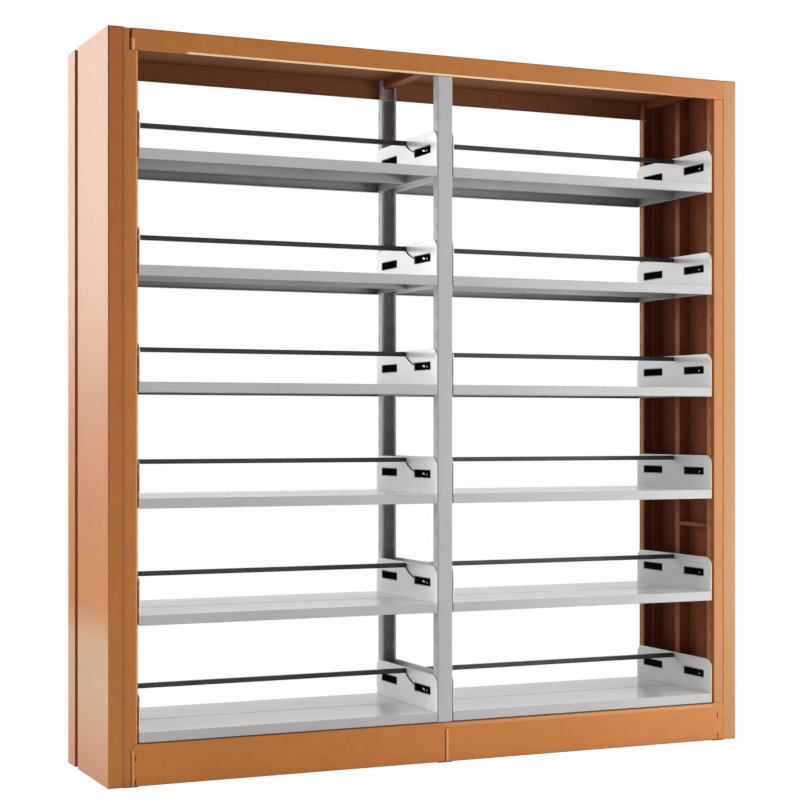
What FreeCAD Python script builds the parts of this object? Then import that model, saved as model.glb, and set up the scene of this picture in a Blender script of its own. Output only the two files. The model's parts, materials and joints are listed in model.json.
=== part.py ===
"""Double sided library shelving: two bays of six levels, each level with a front and a rear shelf.

Millimetres. X runs along the row, Y from the front (-Y) to the rear (+Y), Z up from the floor.
The origin is on the floor, in the middle of the unit. The rear half is the front half turned half a turn
about Z, so every piece is made once, at the front or at the left, and turned for its twin.
"""
import FreeCAD, Part
import math
import os

# ---- driving sizes of the whole unit ----
unit_height = 2000.0            # floor to the top of the cover
unit_depth = 440.0              # front face to rear face of the end guards
bay_length = 930.0              # middle of the unit to the outer wall of an end post
guard_depth = 42.0              # how far an end guard stands out beyond its end posts
level_count = 6
level_pitch = 308.5             # from one shelf to the next
lowest_shelf_height = 143.0     # top surface of the lowest shelf

# ---- posts ----
post_sheet = 1.5
end_post_width = 40.0
centre_post_width = 46.0
post_depth = 30.0
post_lip = 6.0                  # inward lips along the open side
end_post_bend_flat = 6.5        # width cut off the outer corner by the fold at a slotted wall
centre_post_bend_flat = 2.5
post_setback = 2.0              # post face behind the front face of the guards
slots_per_level = 5
slot_width = 3.2
slot_height = 21.0
slot_inset = 10.0               # slot centre behind the post face
slots_below_first_shelf = 1
foot_pad_height = 2.0
foot_pad_margin = 1.0           # the pad is this much smaller than the post all round

# ---- ties between a front post and its rear post ----
lower_tie_size = 40.0           # height of the tie near the floor
upper_tie_size = 24.0           # height of the tie under the top cover
tie_wall = 1.5
lower_tie_height = 24.0         # underside of the lower tie above the floor
tie_end_gap = 2.0               # tie end behind the inner face of the hem notch

# ---- top cover ----
cover_sheet = 1.5
cover_flange_height = 58.0
cover_hem = 8.0                 # inward hem along the lower edge of the flange
cover_bend_radius = 3.0
cover_open_overlap = 18.0       # flange end beyond the inner wall of the end post, at the open joint
cover_open_gap = 7.0            # open joint between that flange end and the top of the end post
cover_closed_gap = 0.5          # from the flange's other end to the guard
cover_tab_width = 8.0           # tab beside the open joint, folded back at 45 degrees
cover_tab_height = 32.0
cover_drop_gap = 0.8            # between the cover hem and what stands under it

# ---- plinth boards ----
plinth_sheet = 1.5
plinth_setback = 0.0            # plinth face behind the front face of the guards
plinth_hem = 3.0                # doubled sheet all round the edge of a board
plinth_fold_flat = 1.8          # width cut off the front edges by the fold
plinth_top = 115.0
plinth_floor_gap = 2.0
plinth_lip = 14.0
plinth_open_overlap = 19.0      # board end beyond the inner wall of the end post, under the open joint
plinth_closed_gap = 0.5         # from the board's other end to the guard
plinth_corner_radius = 20.0     # top corner of the end under the open joint
plinth_joint_gap = 2.5
plinth_tongue_height = 22.0     # tongues that close the joint just under the top edge
plinth_slot_width = 2.4
plinth_slot_heights = ((6.0, 22.0), (67.0, 84.0))
plinth_open_slot_inset = 7.0    # slot beyond the inner wall of the end post
plinth_closed_slot_inset = 16.0

# ---- shelves ----
shelf_sheet = 1.2
shelf_front_height = 27.0
shelf_flange_height = 25.0      # end and inner flanges under the shelf
shelf_hem = 12.0                # inward hem along the lower edge of the front
shelf_bend_flat = 0.8           # width cut off the edges of the shelf front by the fold
shelf_proud = 1.0               # shelf front in front of the post face
shelf_middle_gap = 4.0          # between the front shelf and the rear shelf
shelf_side_clearance = 2.5      # shelf unit to post wall

# ---- brackets at the shelf ends, each as deep as both shelves ----
bracket_sheet = 2.0
bracket_rise = 103.0            # above the shelf surface
bracket_front_radius = 26.0
window_length = 110.0           # long hole that takes the plastic insert
window_height = 22.0
window_front_inset = 42.0       # from the bracket's front edge
window_rise = 55.0              # window centre above the shelf surface
hook_count = 2
hook_first_rise = 6.0           # first hook's seat above the shelf surface
hook_sheet = 2.0
hook_neck_height = 11.0
hook_drop = 7.0                 # how far the hook's leg reaches below its seat
hook_leg = 6.0
hook_play = 0.5                 # between the leg and the inside of the post wall

# ---- book stop bar ----
stop_rise = 100.0               # top of the bar above the shelf surface
stop_height = 13.0
stop_depth = 14.0
stop_wall = 1.2

# ---- end guards ----
guard_sheet = 1.5
guard_floor_gap = 1.5
guard_bend_radius = 3.0
guard_leg = 20.0                # leg that lies on the outer wall of the end post
guard_cover_length = 326.0      # along the depth, from the front face
guard_joint_width = 34.0        # open joint between the cover and the closing strip
guard_fold = 14.0
guard_joint_recess = 10.0
guard_joint_leg = 15.0
guard_rib_width = 27.0
guard_rib_offset = 52.0         # rib centre from the middle of the depth
guard_rib_end_gap = 10.0
guard_rib_lip = 6.0
guard_rib_inset = 4.0           # rib face behind the plane of the post's outer wall
cross_rib_height = 652.0
cross_rib_depth = 12.0
cross_rib_lip = 12.0

# ---- planes that follow from the sizes above ----
front_face = -unit_depth / 2
post_face = front_face + post_setback
plinth_face = front_face + plinth_setback
end_inner_wall = bay_length - end_post_width
unit_half_length = bay_length + guard_depth
cover_underside = unit_height - cover_sheet
flange_bottom = unit_height - cover_flange_height
notch_height = flange_bottom - cover_drop_gap
notch_face = post_face + cover_hem + cover_drop_gap
slot_pitch = level_pitch / slots_per_level
slot_line = post_face + slot_inset
shelf_front = post_face - shelf_proud
bracket_front = shelf_front + shelf_sheet
shelf_heights = [lowest_shelf_height + level * level_pitch for level in range(level_count)]
rounding = 1e-6


def same(first, second):
    """Whether two coordinates are equal but for rounding."""
    return abs(first - second) < rounding


def box(x0, x1, y0, y1, z0, z1):
    """A block between two corners."""
    corner = FreeCAD.Vector(min(x0, x1), min(y0, y1), min(z0, z1))
    return Part.makeBox(abs(x1 - x0), abs(y1 - y0), abs(z1 - z0), corner)


def prism(points, along):
    """A flat outline swept along a vector."""
    corners = [FreeCAD.Vector(*point) for point in points]
    outline = Part.makePolygon(corners + corners[:1])
    return Part.Face(outline).extrude(FreeCAD.Vector(*along))


def turned(shape):
    """The twin of a piece on the other side of the unit."""
    twin = shape.copy()
    twin.rotate(FreeCAD.Vector(0, 0, 0), FreeCAD.Vector(0, 0, 1), 180)
    return twin


def mirrored(shape):
    """The left-hand or right-hand partner of a piece."""
    return shape.mirror(FreeCAD.Vector(0, 0, 0), FreeCAD.Vector(1, 0, 0))


def edges_where(shape, chosen):
    """The straight edges whose two ends both pass the test."""
    return [edge for edge in shape.Edges
            if len(edge.Vertexes) == 2 and all(chosen(vertex.Point) for vertex in edge.Vertexes)]


def rounded(shape, radius, chosen):
    return shape.makeFillet(radius, edges_where(shape, chosen))


def flattened(shape, width, chosen):
    """A small fold, drawn as one flat across the edge."""
    return shape.makeChamfer(width, edges_where(shape, chosen))


def on_line(first, second):
    """A test for points that lie on a line along one axis; each argument is an axis and its value."""
    def test(point):
        return same(point[first[0]], first[1]) and same(point[second[0]], second[1])
    return test


def groups(shapes):
    """Several separate solids that share one node."""
    return Part.makeCompound(shapes)


# ---- posts, ties and feet ----
def slots(wall_x):
    """The column of hanging slots through a wall that faces along X."""
    first = lowest_shelf_height + hook_first_rise - slots_below_first_shelf * slot_pitch
    column = []
    seat = first
    while seat + slot_height + post_sheet < notch_height:
        column.append(box(wall_x - post_sheet, wall_x + post_sheet,
                          slot_line - slot_width / 2, slot_line + slot_width / 2, seat, seat + slot_height))
        seat += slot_pitch
    return column


def post(x0, x1, slotted_walls, bend_flat, notch_x0, notch_x1):
    """A lipped channel, open towards the middle of the unit, notched at the top for the cover's hem."""
    back = post_face + post_depth
    inner0, inner1, inner_face = x0 + post_sheet, x1 - post_sheet, post_face + post_sheet
    outline = [(x0, post_face), (x1, post_face), (x1, back), (x1 - post_lip, back),
               (x1 - post_lip, back - post_sheet), (inner1, back - post_sheet), (inner1, inner_face),
               (inner0, inner_face), (inner0, back - post_sheet), (x0 + post_lip, back - post_sheet),
               (x0 + post_lip, back), (x0, back)]
    channel = prism([(x, y, foot_pad_height) for x, y in outline],
                    (0, 0, cover_underside - foot_pad_height))
    inner_flat = bend_flat - post_sheet * (2 - math.sqrt(2))
    for wall in slotted_walls:
        inner_wall = inner0 if wall == x0 else inner1
        channel = flattened(channel, bend_flat, on_line((0, wall), (1, post_face)))
        channel = flattened(channel, inner_flat, on_line((0, inner_wall), (1, inner_face)))
    cuts = [cut for wall in slotted_walls for cut in slots(wall)]
    cuts.append(box(notch_x0, notch_x1, front_face, notch_face, notch_height, unit_height))
    notch_back = box(x0, x1, notch_face, notch_face + post_sheet, notch_height, cover_underside)
    return channel.cut(cuts).fuse(notch_back).removeSplitter()


def tie(middle_x, width, underside, size):
    """A tube that sits between the lips of two posts."""
    half_width = width / 2 - post_lip
    half_length = -(notch_face + tie_end_gap)
    tube = box(middle_x - half_width, middle_x + half_width, -half_length, half_length,
               underside, underside + size)
    hole = box(middle_x - half_width + tie_wall, middle_x + half_width - tie_wall, -unit_depth, unit_depth,
               underside + tie_wall, underside + size - tie_wall)
    return tube.cut(hole)


def ties(middle_x, width):
    return groups([tie(middle_x, width, lower_tie_height, lower_tie_size),
                   tie(middle_x, width, cover_underside - upper_tie_size, upper_tie_size)])


def foot_pad(middle_x, width):
    half_width = width / 2 - foot_pad_margin
    return box(middle_x - half_width, middle_x + half_width, post_face + foot_pad_margin,
               post_face + post_depth - foot_pad_margin, 0, foot_pad_height)


# ---- top cover and plinth ----
def top_cover():
    """An inverted tray with hemmed flanges; one end of each has an open joint and a folded tab."""
    closed_end = bay_length - cover_closed_gap
    open_end = end_inner_wall + cover_open_overlap
    outer = post_face - cover_sheet
    tray = box(-closed_end, closed_end, outer, -outer, flange_bottom, unit_height)
    for y in (outer, -outer):
        tray = rounded(tray, cover_bend_radius, on_line((1, y), (2, unit_height)))
    tray = tray.cut(box(-closed_end, closed_end, post_face, -post_face, flange_bottom, cover_underside))
    tab_start = open_end - cover_tab_width
    tab_top = flange_bottom + cover_tab_height
    joint = box(-closed_end, -open_end, outer, notch_face, flange_bottom, unit_height)
    tab_place = box(-open_end, -tab_start, outer, post_face, flange_bottom, tab_top)
    tray = tray.cut([joint, turned(joint), tab_place, turned(tab_place)])
    skew = cover_sheet * math.sqrt(0.5)
    plan = [(-tab_start, outer), (-open_end, outer + cover_tab_width),
            (-open_end + skew, outer + cover_tab_width + skew), (-tab_start + skew, outer + skew)]
    tab = prism([(x, y, flange_bottom) for x, y in plan], (0, 0, cover_tab_height))
    hem_end = end_inner_wall - cover_drop_gap
    hem = box(-hem_end, hem_end, post_face, post_face + cover_hem,
              flange_bottom, flange_bottom + cover_sheet)
    return tray.fuse([hem, turned(hem), tab, turned(tab)]).removeSplitter()


def plinth_board(outer_end, slot_inset, corner_radius):
    """A front board of the right bay: a shallow folded pan with a tongue, two lips and two end slots."""
    inner_end = plinth_joint_gap / 2
    pan = box(inner_end, outer_end, plinth_face, post_face, plinth_floor_gap, plinth_top)
    hollow = box(inner_end + plinth_hem, outer_end - plinth_hem, plinth_face + plinth_sheet, post_face,
                 plinth_floor_gap + plinth_hem, plinth_top - plinth_hem)
    if corner_radius:
        pan = rounded(pan, corner_radius, on_line((0, outer_end), (2, plinth_top)))
        hollow = rounded(hollow, corner_radius - plinth_hem,
                         on_line((0, outer_end - plinth_hem), (2, plinth_top - plinth_hem)))
    pan = flattened(pan, plinth_fold_flat, lambda point: same(point.y, plinth_face))
    tongue = box(0, inner_end + plinth_fold_flat, plinth_face, plinth_face + plinth_sheet,
                 plinth_top - plinth_tongue_height, plinth_top - plinth_fold_flat)
    lip_start = centre_post_width / 2 + shelf_side_clearance
    lip_end = end_inner_wall - shelf_side_clearance
    lips = [box(lip_start, lip_end, post_face, post_face + plinth_lip, z, z + plinth_sheet)
            for z in (plinth_floor_gap, plinth_top - plinth_sheet)]
    slot_x = end_inner_wall + slot_inset
    end_slots = [box(slot_x, slot_x + plinth_slot_width, plinth_face, post_face, z0, z1)
                 for z0, z1 in plinth_slot_heights]
    return pan.cut([hollow] + end_slots).fuse(lips + [tongue]).removeSplitter()


# ---- shelves, brackets and book stops ----
def shelf_span():
    """Outer faces of the brackets of the right bay, from the centre post to the end post."""
    return centre_post_width / 2 + shelf_side_clearance, end_inner_wall - shelf_side_clearance


def shelf_board(surface):
    """The front shelf of the right bay: a folded tray whose front spans the bay from post to post."""
    x0, x1 = shelf_span()
    tray0, tray1 = x0 + bracket_sheet, x1 - bracket_sheet
    bottom = surface - shelf_front_height
    inner = shelf_front + shelf_sheet
    back = -shelf_middle_gap / 2
    outline = [(shelf_front, bottom), (inner + shelf_hem, bottom),
               (inner + shelf_hem, bottom + shelf_sheet), (inner, bottom + shelf_sheet),
               (inner, surface - shelf_sheet), (back - shelf_sheet, surface - shelf_sheet),
               (back - shelf_sheet, surface - shelf_flange_height),
               (back, surface - shelf_flange_height), (back, surface), (shelf_front, surface)]
    tray = prism([(tray0, y, z) for y, z in outline], (tray1 - tray0, 0, 0))
    fronts = [box(x0, tray0, shelf_front, inner, bottom, surface),
              box(tray1, x1, shelf_front, inner, bottom, surface)]
    ends = [box(tray0, tray0 + shelf_sheet, inner, back, surface - shelf_flange_height, surface),
            box(tray1 - shelf_sheet, tray1, inner, back, surface - shelf_flange_height, surface)]
    board = tray.fuse(fronts + ends).removeSplitter()
    for z in (bottom, surface):
        board = flattened(board, shelf_bend_flat, on_line((1, shelf_front), (2, z)))
    return board


def hook(face_x, seat):
    """A bent hook that goes through a post slot and drops behind the post wall."""
    leg_start = face_x + shelf_side_clearance + post_sheet + hook_play
    leg_end = leg_start + hook_leg
    outline = [(face_x, seat), (face_x, seat + hook_neck_height), (leg_end, seat + hook_neck_height),
               (leg_end, seat - hook_drop), (leg_start, seat - hook_drop), (leg_start, seat)]
    return prism([(x, slot_line - hook_sheet / 2, z) for x, z in outline], (0, hook_sheet, 0))


def bracket(surface):
    """The bracket at the outer end of the right bay: two halves alike, each with a window and its hooks."""
    x1 = shelf_span()[1]
    x0 = x1 - bracket_sheet
    bottom, top = surface - shelf_flange_height, surface + bracket_rise
    plate = box(x0, x1, bracket_front, 0, bottom, top)
    plate = rounded(plate, bracket_front_radius, on_line((1, bracket_front), (2, top)))
    window_front = bracket_front + window_front_inset
    window = box(x0, x1, window_front, window_front + window_length,
                 surface + window_rise - window_height / 2, surface + window_rise + window_height / 2)
    hooks = [hook(x1, surface + hook_first_rise + count * slot_pitch) for count in range(hook_count)]
    half = plate.cut(window).fuse(hooks)
    return half.fuse(mirrored(turned(half))).removeSplitter()


def shelf_pair(surface):
    """Front and rear shelf of the right bay."""
    front = shelf_board(surface)
    return groups([front, mirrored(turned(front))])


def bracket_pair(surface):
    """Both brackets of the right bay at one level."""
    outer = bracket(surface)
    x0, x1 = shelf_span()
    inner = mirrored(outer)
    inner.translate(FreeCAD.Vector(x0 + x1, 0, 0))
    return groups([outer, inner])


def book_stop(surface):
    """The hollow bar between the brackets that keeps the books of the two sides apart."""
    x0, x1 = shelf_span()
    x0, x1 = x0 + bracket_sheet, x1 - bracket_sheet
    half_depth = stop_depth / 2
    top = surface + stop_rise
    bar = box(x0, x1, -half_depth, half_depth, top - stop_height, top)
    return bar.cut(box(x0, x1, -half_depth + stop_wall, half_depth - stop_wall,
                       top - stop_height + stop_wall, top - stop_wall))


# ---- end guards, made for the right end with the long cover at the rear ----
def guard_shell(y_flange, y_end):
    """A folded sheet: leg on the post, flange, outer side, inward fold, and a closed top."""
    toward = 1 if y_end > y_flange else -1
    sheet = guard_sheet * toward
    inside = unit_half_length - guard_sheet
    leg_end = y_flange + guard_leg * toward
    outline = [(bay_length, y_flange), (unit_half_length, y_flange), (unit_half_length, y_end),
               (unit_half_length - guard_fold, y_end), (unit_half_length - guard_fold, y_end - sheet),
               (inside, y_end - sheet), (inside, y_flange + sheet),
               (bay_length + guard_sheet, y_flange + sheet), (bay_length + guard_sheet, leg_end),
               (bay_length, leg_end)]
    shell = prism([(x, y, guard_floor_gap) for x, y in outline], (0, 0, unit_height - guard_floor_gap))
    shell = rounded(shell, guard_bend_radius, on_line((0, unit_half_length), (1, y_flange)))
    cap = box(bay_length + guard_sheet, inside, y_flange + sheet, y_end - sheet,
              unit_height - guard_sheet, unit_height)
    return shell.fuse(cap).removeSplitter()


def guard_cover():
    return guard_shell(-front_face, -front_face - guard_cover_length)


def guard_strip():
    return guard_shell(front_face, -front_face - guard_cover_length - guard_joint_width)


def guard_joint():
    """The recessed channel that joins the cover to the closing strip."""
    y1 = -front_face - guard_cover_length
    y0 = y1 - guard_joint_width
    face = unit_half_length - guard_joint_recess
    back = face - guard_joint_leg
    outline = [(face, y0), (face, y1), (back, y1), (back, y1 - guard_sheet),
               (face - guard_sheet, y1 - guard_sheet), (face - guard_sheet, y0 + guard_sheet),
               (back, y0 + guard_sheet), (back, y0)]
    return prism([(x, y, guard_floor_gap) for x, y in outline],
                 (0, 0, unit_height - guard_sheet - guard_floor_gap))


def guard_ribs():
    """A stiffening channel from floor to top on the inside of the cover, with a cross rib to the strip."""
    outer = unit_half_length - guard_sheet
    inner = bay_length + guard_rib_inset
    y0 = guard_rib_offset - guard_rib_width / 2
    y1 = guard_rib_offset + guard_rib_width / 2
    z0 = guard_floor_gap + guard_rib_end_gap
    z1 = unit_height - guard_sheet - guard_rib_end_gap
    outline = [(inner, y0), (inner, y1), (outer, y1), (outer, y1 - guard_rib_lip),
               (outer - guard_sheet, y1 - guard_rib_lip), (outer - guard_sheet, y1 - guard_sheet),
               (inner + guard_sheet, y1 - guard_sheet), (inner + guard_sheet, y0 + guard_sheet),
               (outer - guard_sheet, y0 + guard_sheet), (outer - guard_sheet, y0 + guard_rib_lip),
               (outer, y0 + guard_rib_lip), (outer, y0)]
    upright = prism([(x, y, z0) for x, y in outline], (0, 0, z1 - z0))
    y_end = front_face + guard_sheet
    flat = box(inner, inner + cross_rib_depth, y_end, y0, cross_rib_height - guard_sheet, cross_rib_height)
    lip = box(inner, inner + guard_sheet, y_end, y0, cross_rib_height - cross_rib_lip, cross_rib_height)
    return upright.fuse([flat, lip]).removeSplitter()


# ---- assembly ----
def frame_parts():
    """Everything that stands still, by node name."""
    end_middle = bay_length - end_post_width / 2
    joint_end = end_inner_wall + cover_open_overlap + cover_open_gap
    closed_post = post(end_inner_wall, bay_length, [end_inner_wall], end_post_bend_flat,
                       end_inner_wall, bay_length)
    open_post = mirrored(post(end_inner_wall, bay_length, [end_inner_wall], end_post_bend_flat,
                              end_inner_wall, joint_end))
    centre_half = centre_post_width / 2
    centre_post = post(-centre_half, centre_half, [-centre_half, centre_half], centre_post_bend_flat,
                       -centre_half, centre_half)
    pads = [foot_pad(end_middle, end_post_width), foot_pad(-end_middle, end_post_width),
            foot_pad(0, centre_post_width)]
    closed_board = plinth_board(bay_length - plinth_closed_gap, plinth_closed_slot_inset, 0)
    open_board = mirrored(plinth_board(end_inner_wall + plinth_open_overlap, plinth_open_slot_inset,
                                       plinth_corner_radius))
    parts = {
        "right_front_post": closed_post,
        "left_rear_post": turned(closed_post),
        "left_front_post": open_post,
        "right_rear_post": turned(open_post),
        "centre_front_post": centre_post,
        "centre_rear_post": turned(centre_post),
        "right_frame_ties": ties(end_middle, end_post_width),
        "left_frame_ties": ties(-end_middle, end_post_width),
        "centre_frame_ties": ties(0, centre_post_width),
        "foot_pads": groups(pads + [turned(pad) for pad in pads]),
        "top_cover": top_cover(),
        "right_front_plinth": closed_board,
        "left_rear_plinth": turned(closed_board),
        "left_front_plinth": open_board,
        "right_rear_plinth": turned(open_board),
    }
    for name, piece in (("guard_cover", guard_cover()), ("guard_strip", guard_strip()),
                        ("guard_joint", guard_joint()), ("guard_ribs", guard_ribs())):
        parts["right_" + name] = piece
        parts["left_" + name] = turned(piece)
    return parts


def shelf_parts():
    """The shelf units of both bays, by node name, level 1 lowest."""
    parts = {}
    for level, surface in enumerate(shelf_heights, start=1):
        for name, piece in (("shelves", shelf_pair(surface)), ("brackets", bracket_pair(surface)),
                            ("book_stop", book_stop(surface))):
            parts["right_%d_%s" % (level, name)] = piece
            parts["left_%d_%s" % (level, name)] = mirrored(piece)
    return parts


os.makedirs("parts", exist_ok=True)
for node, shape in {**frame_parts(), **shelf_parts()}.items():
    shape.exportStep(os.path.join("parts", node + ".step"))
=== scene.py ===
"""Looks for the double sided library shelving: coats, slot inserts, lights, floor and camera.

Metres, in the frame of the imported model: X along the row, Y front to rear, Z up from the floor.
"""

import json
import math
from collections import namedtuple

import bmesh
import bpy
from mathutils import Matrix, Vector

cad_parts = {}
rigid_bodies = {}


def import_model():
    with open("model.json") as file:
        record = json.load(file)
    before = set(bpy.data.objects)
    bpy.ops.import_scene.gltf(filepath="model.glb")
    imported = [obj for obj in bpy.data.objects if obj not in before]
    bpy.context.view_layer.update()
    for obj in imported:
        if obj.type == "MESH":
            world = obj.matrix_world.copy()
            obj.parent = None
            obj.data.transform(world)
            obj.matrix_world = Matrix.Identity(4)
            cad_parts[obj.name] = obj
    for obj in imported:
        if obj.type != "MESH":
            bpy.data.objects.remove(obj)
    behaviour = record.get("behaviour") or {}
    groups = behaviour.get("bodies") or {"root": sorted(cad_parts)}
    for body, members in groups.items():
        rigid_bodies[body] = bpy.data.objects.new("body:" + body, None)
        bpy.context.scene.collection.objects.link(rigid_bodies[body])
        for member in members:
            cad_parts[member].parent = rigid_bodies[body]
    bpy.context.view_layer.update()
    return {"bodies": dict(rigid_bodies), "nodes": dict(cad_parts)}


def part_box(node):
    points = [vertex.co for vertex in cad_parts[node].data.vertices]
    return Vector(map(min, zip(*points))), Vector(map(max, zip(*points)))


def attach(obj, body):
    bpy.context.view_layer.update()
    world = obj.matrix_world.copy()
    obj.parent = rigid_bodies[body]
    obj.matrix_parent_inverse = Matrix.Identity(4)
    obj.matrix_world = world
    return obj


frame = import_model()
scene = bpy.context.scene
scene.view_settings.view_transform = "Standard"

# ---- camera ----
IMAGE_SIZE = 800.0
SENSOR = 36.0
FOCAL_PIXELS = 1895.7
PRINCIPAL_X = 443.0             # pixel column and row where the camera's axis meets the picture
PRINCIPAL_Y = 428.3
CAMERA_PLACE = (-2.2478, -5.0899, 0.9453)
CAMERA_YAW = math.radians(-24.70)
CAMERA_REACH = 200.0

# ---- sheets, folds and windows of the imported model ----
BRACKET_SHEET = 0.002
SHELF_SHEET = 0.0012
WINDOW_LENGTH = 0.110
WINDOW_HEIGHT = 0.022
WINDOW_INSET = 0.042            # window from the bracket's front edge
WINDOW_RISE = 0.055             # window centre above the shelf surface
SHEET_INSIDE = 0.0008           # a face this far behind its shell's outer face is an inner face
FOLD_WIDTH = 0.003              # what a fold shows of itself from the front
POST_FOLD = 0.007               # the flat across a post's slotted corner
COVER_FLANGE = 0.058            # height of the cover's flange
COVER_TAB_START = 0.009         # folded tabs begin this far outside the end posts' inner walls
COVER_TAB_WIDTH = 0.009
COVER_TAB_HEIGHT = 0.0325       # above the lower edge of the cover's flange
SHINE_HEIGHT = 0.0055           # of the painted highlight on the cover's lower fold
PLINTH_RIM = 0.0045             # a plinth board's slots keep this far from its edges
PLINTH_SLOTS_INSET = 0.028      # and lie within this of its end
PLINTH_ROUNDING = 0.018         # height of a plinth board's rounded corner
PLINTH_TONGUE = 0.022           # height of the tongues that close the joint between two boards
PLINTH_BAND = (0.013, 0.0045)   # rounded band below a board's top fold, both heights below its top

# ---- slot inserts, clips and rods, made here ----
INSERT_RIM = 0.0015             # the insert's rim laps over the edge of the window
INSERT_RIM_THICKNESS = 0.0009
INSERT_LIP = 0.0012             # width of the raised lip around the recess
INSERT_CORNER = 0.005
INSERT_CORNER_STEPS = 6
INSERT_RECESS = 0.0016
CLIP_RADIUS = 0.0024
CLIP_TAPER = 0.7
CLIP_SIDES = 16
CLIP_INSET = 0.024              # round clip from the front end of the window
CLIP_SINK = 0.0002              # clip and tab stand this far behind the bracket's inner face
CLIP_DROP = 0.002               # clip below the middle of the window
TAB_INSET = 0.045               # spring tab from the front end of the window
TAB_SIZE = (0.0012, 0.013, 0.0042)
TAB_ROUNDING = 0.4              # of the tab's height
TAB_ROUNDING_STEPS = 4
TAB_SLANT = math.radians(-14.0)
STRUT_RADIUS = 0.0016           # bent rods from the ends of a book stop to the inserts
STRUT_SIDES = 8
STRUT_STEPS = 8
STRUT_START = 0.5               # how far out across the book stop a rod begins
STRUT_BEND = 0.35               # where along its run, and above its lower end, a rod bends

# ---- grain of the coats ----
PEEL_SCALE = 420.0
PEEL_NOISE = (2.0, 0.55)        # detail and roughness of a noise
PEEL_DEPTH = 0.0002
CLOUD_SCALE = 2.2
CLOUD_NOISE = (3.0, 0.6)
CLOUD_RANGE = (0.32, 0.68)      # the part of a noise that is stretched from 0 to 1
CLOUD_TONES = (0.95, 1.05)      # of the coat's colour
DUST_SCALE = 36.0
DUST_NOISE = (6.0, 0.7)
DUST_RANGE = (0.42, 0.75)
DUST_COLOUR = (0.78, 0.76, 0.72)
DUST_COVER = 0.03
NEARBY_SAMPLES = 6              # rays for each look at the faces around a place
EDGE_RADIUS = 0.0022
EDGE_RANGE = (0.02, 0.25)
EDGE_SHARE = 0.7
SHELTER_REACH = 0.09
SHELTER_RANGE = (0.50, 0.72)
UPWARD_RANGE = (0.6, 0.9)
INSIDE_ROUGHNESS = 0.95
SATIN_BROWN = {"roughness": 0.36, "edge_gain": 1.5}
PLASTIC_PEEL_SCALE = 1400.0
PLASTIC_PEEL_DEPTH = 0.0001
PLASTIC_PEEL = 0.2
PLASTIC_GRAIN = 0.15
PLASTIC_DUST = 1.6              # of the plastic's colour
ZINC_ROUGHNESS = 0.25
ZINC_GRAIN = 0.2

# ---- heights and places along the row where tones fade ----
SHINE_BEGINS = (-0.762, -0.752)  # the painted highlight on the cover's lower fold begins sharply and fades out slowly
SHINE_ENDS = (0.30, 0.82)
UPWARD_TOP = 1.9
GLOSSY_FOOT = (0.0, 0.30)        # the guards are a little glossier at the foot
DULL_BEGINS = (0.12, 0.45)       # and duller just above it
DULL_ENDS = (0.55, 0.95)
GLOSSY_SHARE = 0.10
DULL_SHARE = 0.38
LOW_REFLECTION_BEGINS = (0.04, 0.24)      # band of painted floor reflection on the guards' sides
LOW_REFLECTION_ENDS = (0.37, 0.47)

# ---- colours ----
BROWN_COLOUR = (0.40, 0.136, 0.022)
# painted light: the right posts get a lighter copy of the brown, as if lit from the right
RIGHT_POST_LIT_COLOUR = (0.44, 0.190, 0.070)
# painted light: the plinths get a lighter copy of the brown, as if lit more near the floor
PLINTH_LIT_COLOUR = (0.45, 0.150, 0.024)
# painted shade: the fronts of the end guards darken towards the top
UPPER_SHADE_COLOUR = (0.36, 0.097, 0.010)
# painted light: the fronts of the guard strips are lighter, as if lit from the right
STRIP_FRONT_LIT_COLOUR = (0.40, 0.166, 0.042)
# painted reflection: a paler band low on the guards' sides, where the floor is reflected
LOW_REFLECTION_COLOUR = (0.44, 0.26, 0.145)
# painted highlight: the cover's folded tabs catch light from the left
TAB_HIGHLIGHT_COLOUR = (0.85, 0.46, 0.18)
# painted highlight on folds, rims, bands and board ends
HIGHLIGHT_COLOUR = (0.85, 0.64, 0.38)
# painted light: the left posts' corner flats, as if lit from the right
LIT_FOLD_COLOUR = (0.55, 0.24, 0.085)
# painted highlight over the shade of seams and board ends
SEAM_HIGHLIGHT_COLOUR = (0.95, 0.48, 0.18)
WALL_COLOUR = (0.39, 0.130, 0.016)
# painted shade: the right posts' corner flats, which face away from the light
SHADED_FOLD_COLOUR = (0.22, 0.060, 0.008)
SHADOW_COLOUR = (0.035, 0.008, 0.002)
JOINT_COLOUR = (0.13, 0.022, 0.010)
# painted shade: darker browns for the inner faces of the guards, posts and cover
INSIDE_SHADE_BROWN = (0.275, 0.075, 0.026)
INSIDE_SHADE_COVER = (0.27, 0.100, 0.038)
POST_GREY_COLOUR = (0.40, 0.40, 0.40)
# painted light: the centre posts' side walls are lighter, as if lit from the sides
LIT_POST_GREY_SIDES = (0.56, 0.56, 0.56)
# painted shade inside the centre posts' channels
INSIDE_SHADE_GREY = (0.34, 0.34, 0.34)
SHELF_COLOUR = (0.40, 0.396, 0.396)
BRACKET_COLOUR = (0.66, 0.655, 0.65)
# painted light: the brackets at the centre post are lighter, against the shade of the gap
LIT_CENTRE_BRACKET_COLOUR = (0.92, 0.92, 0.92)
# painted light: warm light on the backs of the brackets that face the end posts
LIT_BRACKET_BACK_COLOUR = (0.95, 0.80, 0.62)
STOP_COLOUR = (0.040, 0.037, 0.039)
PLASTIC_COLOUR = (0.004, 0.004, 0.004)
ZINC_COLOURS = ((0.42, 0.43, 0.44), (0.62, 0.62, 0.62))

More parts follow.
